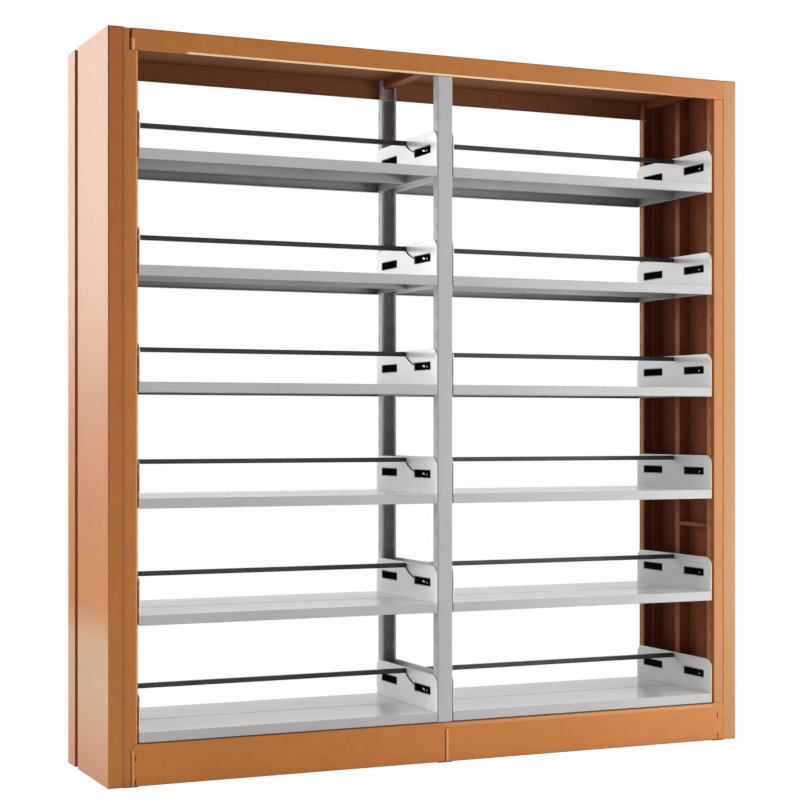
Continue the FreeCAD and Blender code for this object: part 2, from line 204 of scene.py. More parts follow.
# ---- lights ----
AMBIENT = 0.38
WHITE = 0.985                   # the studio as the camera and reflections see it
FLOOR_GLOW = 0.96               # share of the floor that the camera sees as plain white
FLOOR_SIZE = 40.0
FLOOR_COLOUR = (0.86, 0.86, 0.86)
FLOOR_ROUGHNESS = 0.9
SUN_STRENGTH = 0.7
SUN_SPREAD = math.radians(60.0)
LAMPS = (                       # name, place, aim, width, height, watts
    ("key", (3.6, -3.6, 1.0), (0.9, 0.0, 0.6), 3.4, 2.0, 67.0),
    ("right_top", (2.6, -2.0, 2.1), (0.9, -0.2, 1.8), 0.6, 0.8, 24.5),
    ("right_low", (3.2, -2.0, 0.22), (0.6, -0.2, 0.0), 0.8, 0.4, 54.0),
    ("rear_left", (-4.5, 6.5, 3.3), (-0.6, 0.0, 1.0), 3.5, 4.0, 215.0),
    ("left_edge", (-2.4, -0.6, 1.6), (-0.9, -0.1, 1.4), 0.4, 1.2, 7.5),
    ("left_low", (-2.6, -0.3, 0.16), (-0.97, 0.1, 0.02), 1.2, 0.3, 13.0),
)

Mark = namedtuple("Mark", "limits colour strength fade", defaults=(None,))
Reach = namedtuple("Reach", "inner outer front top")


# ---- nodes ----
def new_group(name, inputs, outputs):
    """A shader node group with named float or vector inputs and named outputs."""
    group = bpy.data.node_groups.new(name, "ShaderNodeTree")
    for label, kind, value in inputs:
        socket = group.interface.new_socket(label, in_out="INPUT", socket_type=kind)
        if value is not None:
            socket.default_value = value
    for label, kind in outputs:
        group.interface.new_socket(label, in_out="OUTPUT", socket_type=kind)
    return group, group.nodes.new("NodeGroupInput"), group.nodes.new("NodeGroupOutput")


def placed(tree, group, **links):
    """The group as a node of a material, with its inputs linked."""
    node = tree.nodes.new("ShaderNodeGroup")
    node.node_tree = group
    for label, source in links.items():
        tree.links.new(source, node.inputs[label.replace("_", " ")])
    return node


def fed(tree, socket, value):
    """Set a socket to a plain value or link it."""
    if isinstance(value, float):
        socket.default_value = value
    elif isinstance(value, tuple):
        socket.default_value = (*value, 1.0)
    else:
        tree.links.new(value, socket)


def noise(tree, vector, scale, detail, roughness):
    node = tree.nodes.new("ShaderNodeTexNoise")
    fed(tree, node.inputs["Vector"], vector)
    fed(tree, node.inputs["Scale"], scale)
    fed(tree, node.inputs["Detail"], detail)
    fed(tree, node.inputs["Roughness"], roughness)
    return node.outputs["Fac"]


def ramp(tree, value, low, high):
    """The value stretched so that low becomes 0 and high becomes 1."""
    node = tree.nodes.new("ShaderNodeMapRange")
    fed(tree, node.inputs["Value"], value)
    fed(tree, node.inputs["From Min"], low)
    fed(tree, node.inputs["From Max"], high)
    return node.outputs["Result"]


def maths(tree, operation, *values):
    node = tree.nodes.new("ShaderNodeMath")
    node.operation = operation
    for socket, value in zip(node.inputs, values):
        fed(tree, socket, value)
    return node.outputs["Value"]


def blend_colour(tree, factor, first, second):
    """From the first colour to the second one. A Mix node's colours are its sockets 6, 7 and 2."""
    node = tree.nodes.new("ShaderNodeMix")
    node.data_type = "RGBA"
    fed(tree, node.inputs["Factor"], factor)
    fed(tree, node.inputs[6], first)
    fed(tree, node.inputs[7], second)
    return node.outputs[2]


def axes_of(tree, vector):
    """X, Y and Z of a vector."""
    parts = tree.nodes.new("ShaderNodeSeparateXYZ")
    fed(tree, parts.inputs["Vector"], vector)
    return parts.outputs["X"], parts.outputs["Y"], parts.outputs["Z"]


def until(tree, value, low, high):
    """1 up to low, fading to 0 at high."""
    return maths(tree, "SUBTRACT", 1.0, ramp(tree, value, low, high))


# ---- shader groups ----
def powder_group():
    """Orange peel, soft clouds of tone and fine dust of a powder coat, from Object coordinates."""
    group, entry, leave = new_group(
        "powder_surface",
        [("Vector", "NodeSocketVector", None), ("Peel Scale", "NodeSocketFloat", PEEL_SCALE)],
        [("Peel", "NodeSocketFloat"), ("Cloud", "NodeSocketFloat"), ("Dust", "NodeSocketFloat")])
    vector = entry.outputs["Vector"]
    peel = noise(group, vector, entry.outputs["Peel Scale"], *PEEL_NOISE)
    cloud = noise(group, vector, CLOUD_SCALE, *CLOUD_NOISE)
    dust = noise(group, vector, DUST_SCALE, *DUST_NOISE)
    group.links.new(peel, leave.inputs["Peel"])
    group.links.new(ramp(group, cloud, *CLOUD_RANGE), leave.inputs["Cloud"])
    group.links.new(ramp(group, dust, *DUST_RANGE), leave.inputs["Dust"])
    return group


def edge_group():
    """A mask along folded and cut edges, and the normal that rounds them."""
    group, entry, leave = new_group(
        "sheet_edges", [("Normal", "NodeSocketVector", None)],
        [("Edge", "NodeSocketFloat"), ("Soft Normal", "NodeSocketVector")])
    bevel = group.nodes.new("ShaderNodeBevel")
    bevel.samples = NEARBY_SAMPLES
    bevel.inputs["Radius"].default_value = EDGE_RADIUS
    compare = group.nodes.new("ShaderNodeVectorMath")
    compare.operation = "DOT_PRODUCT"
    group.links.new(bevel.outputs["Normal"], compare.inputs[0])
    group.links.new(entry.outputs["Normal"], compare.inputs[1])
    away = maths(group, "SUBTRACT", 1.0, compare.outputs["Value"])
    group.links.new(ramp(group, away, *EDGE_RANGE), leave.inputs["Edge"])
    group.links.new(bevel.outputs["Normal"], leave.inputs["Soft Normal"])
    return group


def shelter_group():
    """How far a place is tucked away behind nearby sheets: 0 in the open, 1 deep in a gap."""
    group, entry, leave = new_group(
        "sheltered_places", [("Normal", "NodeSocketVector", None)],
        [("Shelter", "NodeSocketFloat")])
    nearby = group.nodes.new("ShaderNodeAmbientOcclusion")
    nearby.samples = NEARBY_SAMPLES
    nearby.inputs["Distance"].default_value = SHELTER_REACH
    group.links.new(entry.outputs["Normal"], nearby.inputs["Normal"])
    hidden = maths(group, "SUBTRACT", 1.0, nearby.outputs["AO"])
    group.links.new(ramp(group, hidden, *SHELTER_RANGE), leave.inputs["Shelter"])
    return group


def region_group():
    """1 between these limits. X and Y count from the middle, towards both ends and both faces."""
    group, entry, leave = new_group(
        "limited_region",
        [("Vector", "NodeSocketVector", None),
         ("Inner X", "NodeSocketFloat", -1.0), ("Outer X", "NodeSocketFloat", 1.0),
         ("Inner Y", "NodeSocketFloat", -1.0), ("Outer Y", "NodeSocketFloat", 1.0),
         ("Low Z", "NodeSocketFloat", -1.0), ("Top Z", "NodeSocketFloat", 3.0)],
        [("Inside", "NodeSocketFloat")])
    along, across, height = axes_of(group, entry.outputs["Vector"])
    limits = ((maths(group, "ABSOLUTE", along), "Inner X", "Outer X"),
              (maths(group, "ABSOLUTE", across), "Inner Y", "Outer Y"),
              (height, "Low Z", "Top Z"))
    inside = None
    for place, low, high in limits:
        beyond = maths(group, "GREATER_THAN", place, entry.outputs[low])
        before = maths(group, "LESS_THAN", place, entry.outputs[high])
        between = maths(group, "MULTIPLY", beyond, before)
        inside = maths(group, "MULTIPLY", inside, between) if inside else between
    group.links.new(inside, leave.inputs["Inside"])
    return group


def upward_group():
    """1 on the faces that look up."""
    group, entry, leave = new_group(
        "upward_faces", [("Normal", "NodeSocketVector", None)], [("Up", "NodeSocketFloat")])
    up = axes_of(group, entry.outputs["Normal"])[2]
    group.links.new(ramp(group, up, *UPWARD_RANGE), leave.inputs["Up"])
    return group


def fades_group():
    """Slow changes over the whole unit.

    Along carries the painted highlight on the cover's lower fold: it starts at the front left end,
    and likewise on the rear.
    Uneven is how the gloss of the end guards differs up their height, above 0 where it's glossier.
    Low is the band above the foot of the end guards that gets a paler tone, a painted reflection of
    the floor.
    """
    group, entry, leave = new_group(
        "fades", [("Vector", "NodeSocketVector", None)],
        [("Along", "NodeSocketFloat"), ("Upward", "NodeSocketFloat"),
         ("Uneven", "NodeSocketFloat"), ("Low", "NodeSocketFloat")])
    row, across, height = axes_of(group, entry.outputs["Vector"])
    facing = maths(group, "SIGN", across)
    along = maths(group, "MULTIPLY", maths(group, "MULTIPLY", row, facing), -1.0)
    shine = maths(group, "MULTIPLY", ramp(group, along, *SHINE_BEGINS),
                  until(group, along, *SHINE_ENDS))
    glossy = maths(group, "MULTIPLY", until(group, height, *GLOSSY_FOOT), GLOSSY_SHARE)
    middle = maths(group, "MULTIPLY", ramp(group, height, *DULL_BEGINS),
                   until(group, height, *DULL_ENDS))
    dull = maths(group, "MULTIPLY", middle, DULL_SHARE)
    low_reflection = maths(group, "MULTIPLY", ramp(group, height, *LOW_REFLECTION_BEGINS),
                    until(group, height, *LOW_REFLECTION_ENDS))
    group.links.new(shine, leave.inputs["Along"])
    group.links.new(ramp(group, height, 0.0, UPWARD_TOP), leave.inputs["Upward"])
    group.links.new(maths(group, "SUBTRACT", glossy, dull), leave.inputs["Uneven"])
    group.links.new(low_reflection, leave.inputs["Low"])
    return group


POWDER = powder_group()
EDGES = edge_group()
SHELTER = shelter_group()
REGION = region_group()
FADES = fades_group()
UPWARD = upward_group()


# ---- materials ----
def new_material(name):
    """A material, its nodes and shader, its Object coordinates and its powder surface."""
    material = bpy.data.materials.new(name)
    material.use_nodes = True
    tree = material.node_tree
    place = tree.nodes.new("ShaderNodeTexCoord").outputs["Object"]
    powder = placed(tree, POWDER, Vector=place)
    return material, tree, tree.nodes["Principled BSDF"], place, powder


def add_bump(tree, shader, height, strength, distance, normal=None):
    bump = tree.nodes.new("ShaderNodeBump")
    bump.inputs["Strength"].default_value = strength
    bump.inputs["Distance"].default_value = distance
    tree.links.new(height, bump.inputs["Height"])
    if normal:
        tree.links.new(normal, bump.inputs["Normal"])
    tree.links.new(bump.outputs["Normal"], shader.inputs["Normal"])


def limited_region(tree, place, limits):
    """The mask of the places between these limits."""
    region = placed(tree, REGION, Vector=place)
    for label, value in limits.items():
        region.inputs[label].default_value = value
    return region.outputs["Inside"]


def shaded(colour, factor):
    return tuple(min(channel * factor, 1.0) for channel in colour)


def powder_coat(name, colour, roughness=0.42, peel=0.12, edge_gain=1.25, specular=0.3, deep=0.4,
                mottle=0.08, limits=None, inside_shade=None, marks=(), top_light_gain=1.0, top_gloss=0.0,
                uneven=0.0):
    """A satin powder coat on folded sheet steel.

    It is lighter by edge_gain along its edges, a painted highlight, and darker by deep in sheltered
    places, a painted shade. Faces that look up may be lighter by top_light_gain, a painted light,
    and glossier by top_gloss. Each mark is a tone along a fold, a seam or a face; most are painted
    shadows, shades, highlights or reflections. Between the limits lies the inside of a shell, matt
    and darkened by a painted shade. Uneven is how much the gloss of an end guard's side differs up
    its height.
    """
    material, tree, shader, place, powder = new_material(name)
    shader.inputs["Specular IOR Level"].default_value = specular
    facing = tree.nodes.new("ShaderNodeNewGeometry").outputs["Normal"]
    edges = placed(tree, EDGES, Normal=facing)
    shelter = placed(tree, SHELTER, Normal=facing)
    tone = blend_colour(tree, powder.outputs["Cloud"],
                        *(shaded(colour, factor) for factor in CLOUD_TONES))
    # painted highlight along the edges
    edge_highlight = maths(tree, "MULTIPLY", edges.outputs["Edge"], EDGE_SHARE)
    tone = blend_colour(tree, edge_highlight, tone, shaded(colour, edge_gain))
    rough = maths(tree, "MULTIPLY_ADD", powder.outputs["Dust"], mottle, roughness)
    # painted light on the faces that look up
    if top_light_gain > 1.0:
        up = placed(tree, UPWARD, Normal=facing).outputs["Up"]
        tone = blend_colour(tree, up, tone, shaded(colour, top_light_gain))
        rough = maths(tree, "SUBTRACT", rough, maths(tree, "MULTIPLY", up, top_gloss))
    # painted shade in sheltered places
    tone = blend_colour(tree, shelter.outputs["Shelter"], tone, shaded(colour, deep))
    fades = placed(tree, FADES, Vector=place) if marks or uneven else None
    for mark in marks:
        mask = maths(tree, "MULTIPLY", limited_region(tree, place, mark.limits), mark.strength)
        if mark.fade:
            source = edges if mark.fade == "Edge" else fades
            mask = maths(tree, "MULTIPLY", mask, source.outputs[mark.fade])
        tone = blend_colour(tree, mask, tone, mark.colour)
    # painted shade, made matt as well, on the inner faces of the shell
    if limits:
        inside = limited_region(tree, place, limits)
        tone = blend_colour(tree, inside, tone, inside_shade)
        if uneven:
            side = limited_region(tree, place, {"Inner X": limits["Outer X"]})
            gloss = maths(tree, "MULTIPLY", fades.outputs["Uneven"], side)
            rough = maths(tree, "SUBTRACT", rough, maths(tree, "MULTIPLY", gloss, uneven))
        matt = maths(tree, "MULTIPLY", inside, INSIDE_ROUGHNESS - roughness)
        rough = maths(tree, "ADD", rough, matt)
    dusty = maths(tree, "MULTIPLY", powder.outputs["Dust"], DUST_COVER)
    tone = blend_colour(tree, dusty, tone, DUST_COLOUR)
    tree.links.new(tone, shader.inputs["Base Color"])
    tree.links.new(rough, shader.inputs["Roughness"])
    add_bump(tree, shader, powder.outputs["Peel"], peel, PEEL_DEPTH, edges.outputs["Soft Normal"])
    return material


def moulded_plastic(name, colour, roughness=0.55):
    """Black moulded plastic with a fine spark-eroded texture."""
    material, tree, shader, _, powder = new_material(name)
    shader.inputs["Specular IOR Level"].default_value = 0.0
    powder.inputs["Peel Scale"].default_value = PLASTIC_PEEL_SCALE
    tone = blend_colour(tree, powder.outputs["Dust"], colour, shaded(colour, PLASTIC_DUST))
    rough = maths(tree, "MULTIPLY_ADD", powder.outputs["Peel"], PLASTIC_GRAIN, roughness)
    tree.links.new(tone, shader.inputs["Base Color"])
    tree.links.new(rough, shader.inputs["Roughness"])
    add_bump(tree, shader, powder.outputs["Peel"], PLASTIC_PEEL, PLASTIC_PEEL_DEPTH)
    return material


def zinc(name):
    """Bright zinc plate with a faint patchy grain."""
    material, tree, shader, _, powder = new_material(name)
    shader.inputs["Metallic"].default_value = 1.0
    tone = blend_colour(tree, powder.outputs["Dust"], *ZINC_COLOURS)
    rough = maths(tree, "MULTIPLY_ADD", powder.outputs["Peel"], ZINC_GRAIN, ZINC_ROUGHNESS)
    tree.links.new(tone, shader.inputs["Base Color"])
    tree.links.new(rough, shader.inputs["Roughness"])
    return material


# ---- places on the nodes ----
def reach(node):
    """A node's nearest and farthest place from the middle along the row, its front and its top."""
    low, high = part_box(node)
    inner, outer = sorted((abs(low.x), abs(high.x)))
    return Reach(inner, outer, max(abs(low.y), abs(high.y)), high.z)


def guard_inside(node):
    """The inner faces of an end guard, beyond the leg that lies on its post."""
    guard = reach(node)
    return {"Inner X": guard.inner + SHEET_INSIDE, "Outer X": guard.outer - SHEET_INSIDE,
            "Outer Y": guard.front - SHEET_INSIDE, "Top Z": guard.top - SHEET_INSIDE}


def end_post_inside(node):
    """The inner faces of an end post's channel, which is open at its top."""
    post = reach(node)
    return {"Inner X": post.inner + POST_FOLD, "Outer X": post.outer - SHEET_INSIDE,
            "Outer Y": post.front - SHEET_INSIDE, "Top Z": post.top}


def centre_post_inside(node):
    """The inner faces of a centre post's channel, which stands over the middle."""
    post = reach(node)
    return {"Inner X": 0.0, "Outer X": post.outer - SHEET_INSIDE,
            "Outer Y": post.front - SHEET_INSIDE, "Top Z": post.top}


def cover_inside():
    """The inner faces of the top cover, between the end posts and behind the front of the posts."""
    post = reach("left_front_post")
    return {"Outer X": post.inner + COVER_TAB_START, "Outer Y": post.front + SHEET_INSIDE,
            "Top Z": reach("top_cover").top - SHEET_INSIDE}


def cover_tabs():
    """The cover's folded tabs, behind its front face and beside its open joints."""
    start = reach("left_front_post").inner + COVER_TAB_START
    cover = reach("top_cover")
    return {"Inner X": start, "Outer X": start + COVER_TAB_WIDTH,
            "Outer Y": cover.front - SHEET_INSIDE / 2,
            "Top Z": cover.top - COVER_FLANGE + COVER_TAB_HEIGHT}


def cover_lower_fold():
    """The lower fold of the top cover's flanges."""
    cover = reach("top_cover")
    return {"Inner Y": cover.front - SHEET_INSIDE,
            "Top Z": cover.top - COVER_FLANGE + SHINE_HEIGHT}


def top_fold(node):
    """The line along the top fold of a front face."""
    piece = reach(node)
    return {"Inner Y": piece.front - FOLD_WIDTH, "Low Z": piece.top - FOLD_WIDTH}


def plinth_top_fold(node):
    """The line along the top fold of a plinth board, which ends at the end post."""
    return {**top_fold(node), "Outer X": reach("left_front_post").inner}


def plinth_band(node):
    """The rounded band under the top fold of a plinth board, between the posts."""
    board = reach(node)
    lower, upper = PLINTH_BAND
    return {**plinth_top_fold(node), "Low Z": board.top - lower, "Top Z": board.top - upper}


def plinth_end(node):
    """The end of a plinth board that lies over the front of the end post, with its slots."""
    return {"Inner X": reach("left_front_post").inner + SHEET_INSIDE,
            "Inner Y": reach(node).front - FOLD_WIDTH}


def plinth_slots(node):
    """The cut edges of a plinth board's end slots, clear of its own edges."""
    board = reach(node)
    return {"Inner X": board.outer - PLINTH_SLOTS_INSET, "Outer X": board.outer - PLINTH_RIM,
            "Top Z": board.top - 2 * PLINTH_RIM}


def plinth_rim(node, start, width):
    """A strip along the outer end of a plinth board, below its rounded corner."""
    board = reach(node)
    end = board.outer - start
    return {"Inner X": end - width, "Outer X": end, "Inner Y": board.front - SHEET_INSIDE,
            "Top Z": board.top - PLINTH_ROUNDING}


def plinth_joint(node, start, width):
    """A strip along the end of a plinth board where it meets the next one."""
    board = reach(node)
    end = board.inner + start
    return {"Inner X": end, "Outer X": end + width, "Top Z": board.top - PLINTH_TONGUE}


def behind_plinth(node):
    """What the joint between the plinth boards shows of the centre post."""
    return {"Top Z": reach(node).top - FOLD_WIDTH}


def post_beside_plinth(node):
    """The shadow on an end post beside the rounded end of a plinth board."""
    board = reach(node)
    return {"Inner X": board.outer, "Outer X": board.outer + 0.8 * FOLD_WIDTH,
            "Inner Y": board.front - 2 * FOLD_WIDTH, "Top Z": board.top - PLINTH_ROUNDING}


def post_behind_slots(node):
    """What the slots of a plinth board's end show of the end post."""
    board = reach(node)
    return {"Outer X": board.outer - PLINTH_RIM, "Inner Y": board.front - 2 * FOLD_WIDTH,
            "Top Z": board.top - PLINTH_ROUNDING}


def post_wall(node):
    """The inner wall of an end post, behind its fold."""
    post = reach(node)
    return {"Outer X": post.inner + SHEET_INSIDE, "Outer Y": post.front - POST_FOLD}


def post_fold(node):
    """The flat across the slotted corner of an end post."""
    post = reach(node)
    return {"Outer X": post.inner + POST_FOLD, "Inner Y": post.front - POST_FOLD}


def outer_sides(node):
    """The outermost faces along the row: a guard's side, a post's walls, a bracket's back."""
    return {"Inner X": reach(node).outer - SHEET_INSIDE}


def guard_front(node):
    """The front face of an end guard."""
    return {"Inner Y": reach(node).front - SHEET_INSIDE}


def guard_corner(node):
    """The line up the outer front corner of an end guard."""
    guard = reach(node)
    return {"Inner X": guard.outer - FOLD_WIDTH, "Inner Y": guard.front - FOLD_WIDTH}


def guard_seam(node, width):
    """A strip along the front edge of an end guard where it meets its post."""
    guard = reach(node)
    start = guard.inner - SHEET_INSIDE
    return {"Inner X": start, "Outer X": start + width, "Inner Y": guard.front - FOLD_WIDTH}


def brackets_at_centre_post(node):
    """The whole sheets of the brackets at the centre post."""
    return {"Outer X": reach(node).inner + BRACKET_SHEET + SHEET_INSIDE}


# ---- finishes ----
# painted light: the plinths' coat is a lighter copy of the brown
OPEN_PLINTH = powder_coat(
    "open_plinth_coat", PLINTH_LIT_COLOUR, **SATIN_BROWN,
    marks=[Mark(plinth_top_fold("left_front_plinth"), SHADOW_COLOUR, 0.8),
           Mark(plinth_end("left_front_plinth"), SHADOW_COLOUR, 0.8, "Edge"),
           # painted highlight along the board's rounded end
           Mark(plinth_rim("left_front_plinth", start=0.002, width=0.004), HIGHLIGHT_COLOUR, 0.25)])
CLOSED_PLINTH = powder_coat(
    "closed_plinth_coat", PLINTH_LIT_COLOUR, **SATIN_BROWN,
    marks=[Mark(plinth_top_fold("right_front_plinth"), SHADOW_COLOUR, 0.8),
           Mark(plinth_slots("right_front_plinth"), SHADOW_COLOUR, 0.8, "Edge"),
           # painted highlight along the board's closed end
           Mark(plinth_rim("right_front_plinth", start=0.0, width=0.002), SEAM_HIGHLIGHT_COLOUR, 0.6),
           # painted highlight on the rounded band under the top fold
           Mark(plinth_band("right_front_plinth"), HIGHLIGHT_COLOUR, 0.14),
           Mark(plinth_joint("right_front_plinth", start=-0.001, width=0.0035),
                SHADOW_COLOUR, 0.45),
           # painted highlight on the folded end beside the joint
           Mark(plinth_joint("right_front_plinth", start=0.003, width=0.006),
                HIGHLIGHT_COLOUR, 0.30)])
# painted shade: the ribs and ties inside the guards and cover take the darker inside brown
SHADED_INSIDE_PARTS = powder_coat("shaded_brown_inside_coat", INSIDE_SHADE_BROWN, roughness=0.5, specular=0.12)
GUARD_BROWN = powder_coat(
    "guard_brown_coat", BROWN_COLOUR, **SATIN_BROWN, uneven=0.5,
    limits=guard_inside("left_guard_cover"), inside_shade=INSIDE_SHADE_BROWN,
    # painted shade darkens the guard's front towards the top
    marks=[Mark(guard_front("left_guard_cover"), UPPER_SHADE_COLOUR, 1.0, "Upward"),
           # painted reflection of the floor, low on the guard's side
           Mark(outer_sides("left_guard_cover"), LOW_REFLECTION_COLOUR, 1.0, "Low"),
           Mark(top_fold("left_guard_cover"), SHADOW_COLOUR, 0.5),
           Mark(guard_corner("left_guard_cover"), SHADOW_COLOUR, 0.9, "Upward"),
           Mark(guard_seam("left_guard_cover", width=0.0055), SHADOW_COLOUR, 0.35)])
STRIP_BROWN = powder_coat(
    "strip_brown_coat", BROWN_COLOUR, **SATIN_BROWN, uneven=0.8,
    limits=guard_inside("left_guard_strip"), inside_shade=INSIDE_SHADE_BROWN,
    # painted light on the strip's front
    marks=[Mark(guard_front("left_guard_strip"), STRIP_FRONT_LIT_COLOUR, 1.0),
           # painted reflection of the floor, low on the strip's side
           Mark(outer_sides("left_guard_strip"), LOW_REFLECTION_COLOUR, 0.9, "Low"),
           Mark(top_fold("left_guard_strip"), SHADOW_COLOUR, 0.5),
           # painted highlight over the shaded seam between strip and post
           Mark(guard_seam("left_guard_strip", width=2 * SHEET_INSIDE), SEAM_HIGHLIGHT_COLOUR, 0.9)])
COVER_BROWN = powder_coat(
    "cover_brown_coat", BROWN_COLOUR, **SATIN_BROWN,
    limits=cover_inside(), inside_shade=INSIDE_SHADE_COVER,
    # painted highlight on the folded tabs
    marks=[Mark(cover_tabs(), TAB_HIGHLIGHT_COLOUR, 1.0),
           Mark(top_fold("top_cover"), SHADOW_COLOUR, 0.4),
           # painted highlight along the cover's lower fold
           Mark(cover_lower_fold(), HIGHLIGHT_COLOUR, 0.9, "Along")])
# painted light: the right posts' coat is a lighter copy of the brown
RIGHT_POST_BROWN = powder_coat(
    "post_brown_coat", RIGHT_POST_LIT_COLOUR, **SATIN_BROWN, specular=0.1,
    limits=end_post_inside("right_front_post"), inside_shade=INSIDE_SHADE_BROWN,
    marks=[Mark(post_wall("right_front_post"), WALL_COLOUR, 0.8),
           # painted shade on the post's corner flat
           Mark(post_fold("right_front_post"), SHADED_FOLD_COLOUR, 0.8)])
LEFT_POST_BROWN = powder_coat(
    "left_post_brown_coat", BROWN_COLOUR, **SATIN_BROWN,
    limits=end_post_inside("left_front_post"), inside_shade=INSIDE_SHADE_BROWN,
    # painted light on the post's corner flat
    marks=[Mark(post_fold("left_front_post"), LIT_FOLD_COLOUR, 1.0),
           Mark(post_behind_slots("left_front_plinth"), SHADOW_COLOUR, 0.9),
           Mark(post_beside_plinth("left_front_plinth"), SHADOW_COLOUR, 0.75)])
JOINT_BROWN = powder_coat("dark_joint_coat", JOINT_COLOUR, roughness=0.45, specular=0.12)
POST_GREY = powder_coat(
    "post_grey_coat", POST_GREY_COLOUR,
    limits=centre_post_inside("centre_front_post"), inside_shade=INSIDE_SHADE_GREY,
    # painted light on the post's side walls
    marks=[Mark(outer_sides("centre_front_post"), LIT_POST_GREY_SIDES, 1.0),
           # painted shade: the centre post shows dark brown through the joint between the plinth
           # boards
           Mark(behind_plinth("left_front_plinth"), INSIDE_SHADE_BROWN, 1.0)])
# painted light on the shelves' tops
SHELF_GREY = powder_coat(
    "shelf_grey_coat", SHELF_COLOUR, roughness=0.34, peel=0.015, specular=0.42, mottle=0.02,
    top_light_gain=1.6, top_gloss=0.16)
BRACKET_GREY = powder_coat(
    "bracket_grey_coat", BRACKET_COLOUR, roughness=0.22, peel=0.02, specular=0.5, deep=0.6,
    mottle=0.02, edge_gain=1.4,
    # painted light on the brackets at the centre post
    marks=[Mark(brackets_at_centre_post("right_1_shelves"), LIT_CENTRE_BRACKET_COLOUR, 1.0),
           # painted light on the brackets' backs, in the gap by the end posts
           Mark(outer_sides("left_1_shelves"), LIT_BRACKET_BACK_COLOUR, 1.0)])
STOP_GREY = powder_coat("stop_grey_coat", STOP_COLOUR, roughness=0.38, specular=0.2)
BLACK_PLASTIC = moulded_plastic("black_plastic", PLASTIC_COLOUR)
ZINC_PLATE = zinc("zinc_plate")
FINISHES = (                    # the first ending that fits a node's name gives its finish
    ("guard_joint", JOINT_BROWN),
    ("guard_ribs", SHADED_INSIDE_PARTS),
    ("frame_ties", SHADED_INSIDE_PARTS),
    ("guard_cover", GUARD_BROWN),
    ("guard_strip", STRIP_BROWN),
    ("top_cover", COVER_BROWN),
    ("foot_pads", BLACK_PLASTIC),
    ("shelves", SHELF_GREY),
    ("brackets", BRACKET_GREY),
    ("book_stop", STOP_GREY),
    ("left_front_plinth", OPEN_PLINTH),
    ("right_rear_plinth", OPEN_PLINTH),
    ("plinth", CLOSED_PLINTH),
    ("centre_front_post", POST_GREY),
    ("centre_rear_post", POST_GREY),
    ("left_front_post", LEFT_POST_BROWN),
    ("left_rear_post", LEFT_POST_BROWN),
    ("right_front_post", RIGHT_POST_BROWN),
    ("right_rear_post", RIGHT_POST_BROWN),
)


def dress(node):
    """A carried-over node gets its finish."""
    finish = next(material for ending, material in FINISHES if node.endswith(ending))
    slots = frame["nodes"][node].data.materials
    slots.clear()
    slots.append(finish)


for node_name in frame["nodes"]:
    dress(node_name)


# ---- slot inserts in the brackets ----
def mesh_piece(name, shape, body, material):
    """A finished bmesh as an object that rides on a body."""
    mesh = bpy.data.meshes.new(name)
    shape.to_mesh(mesh)
    shape.free()
    piece = bpy.data.objects.new(name, mesh)
    scene.collection.objects.link(piece)
    mesh.materials.append(material)
    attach(piece, body)


def merged(target, source, place):
    """Add a shape to another one at a place."""
    bmesh.ops.translate(source, vec=place, verts=source.verts)
    carrier = bpy.data.meshes.new("carrier")
    source.to_mesh(carrier)
    source.free()
    target.from_mesh(carrier)
    bpy.data.meshes.remove(carrier)


def rounded_plate(size, corner, steps):
    """A plate of this size with the corners of its face rounded, its thickness along X."""
    shape = bmesh.new()
    bmesh.ops.create_cube(shape, size=1.0)
    bmesh.ops.scale(shape, vec=size, verts=shape.verts)
    corners = [edge for edge in shape.edges
               if abs(edge.verts[0].co.x - edge.verts[1].co.x) > size[0] / 2]
    bmesh.ops.bevel(shape, geom=corners, offset=corner, segments=steps, profile=0.5,
                    affect="EDGES", material=-1)
    return shape


def insert_shape(inward):
    """One insert, centred on its window. Its rim looks along +X or -X, as inward is 1 or -1."""
    depth = BRACKET_SHEET + INSERT_RIM_THICKNESS
    size = (depth, WINDOW_LENGTH + 2 * INSERT_RIM, WINDOW_HEIGHT + 2 * INSERT_RIM)
    shape = rounded_plate(size, INSERT_CORNER, INSERT_CORNER_STEPS)
    front = max(shape.faces, key=lambda face: face.calc_center_median().x)
    bmesh.ops.inset_region(shape, faces=[front], thickness=INSERT_LIP)
    bmesh.ops.translate(shape, vec=(-INSERT_RECESS, 0, 0), verts=front.verts)
    bmesh.ops.translate(shape, vec=(depth / 2 - BRACKET_SHEET, 0, 0), verts=shape.verts)
    if inward < 0:
        bmesh.ops.rotate(shape, matrix=Matrix.Rotation(math.pi, 3, "Z"), verts=shape.verts)
    return shape


def clip_shape(inward):
    """The round head of the insert's clip."""
    shape = bmesh.new()
    bmesh.ops.create_cone(shape, cap_ends=True, segments=CLIP_SIDES, radius1=CLIP_RADIUS,
                          radius2=CLIP_RADIUS * CLIP_TAPER, depth=TAB_SIZE[0])
    turn = Matrix.Rotation(math.radians(90.0) * inward, 3, "Y")
    bmesh.ops.rotate(shape, matrix=turn, verts=shape.verts)
    return shape


def tab_shape(side):
    """The slanting spring tab beside the clip, lower towards the front end of the window."""
    shape = rounded_plate(TAB_SIZE, TAB_SIZE[2] * TAB_ROUNDING, TAB_ROUNDING_STEPS)
    bmesh.ops.rotate(shape, matrix=Matrix.Rotation(TAB_SLANT * side, 3, "X"), verts=shape.verts)
    return shape


def window_places(body):
    """Each window: the way it looks, its side, its centre on the inner face, if it has a rod."""
    low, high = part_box(body + "_shelves")
    across = abs(low.y) - SHELF_SHEET - WINDOW_INSET - WINDOW_LENGTH / 2
    for inward, face in ((1, low.x + BRACKET_SHEET), (-1, high.x - BRACKET_SHEET)):
        at_centre_post = abs(face) < abs(low.x + high.x) / 2
        for side in (-1, 1):
            place = Vector((face, side * across, high.z + WINDOW_RISE))
            yield inward, side, place, at_centre_post and side == inward


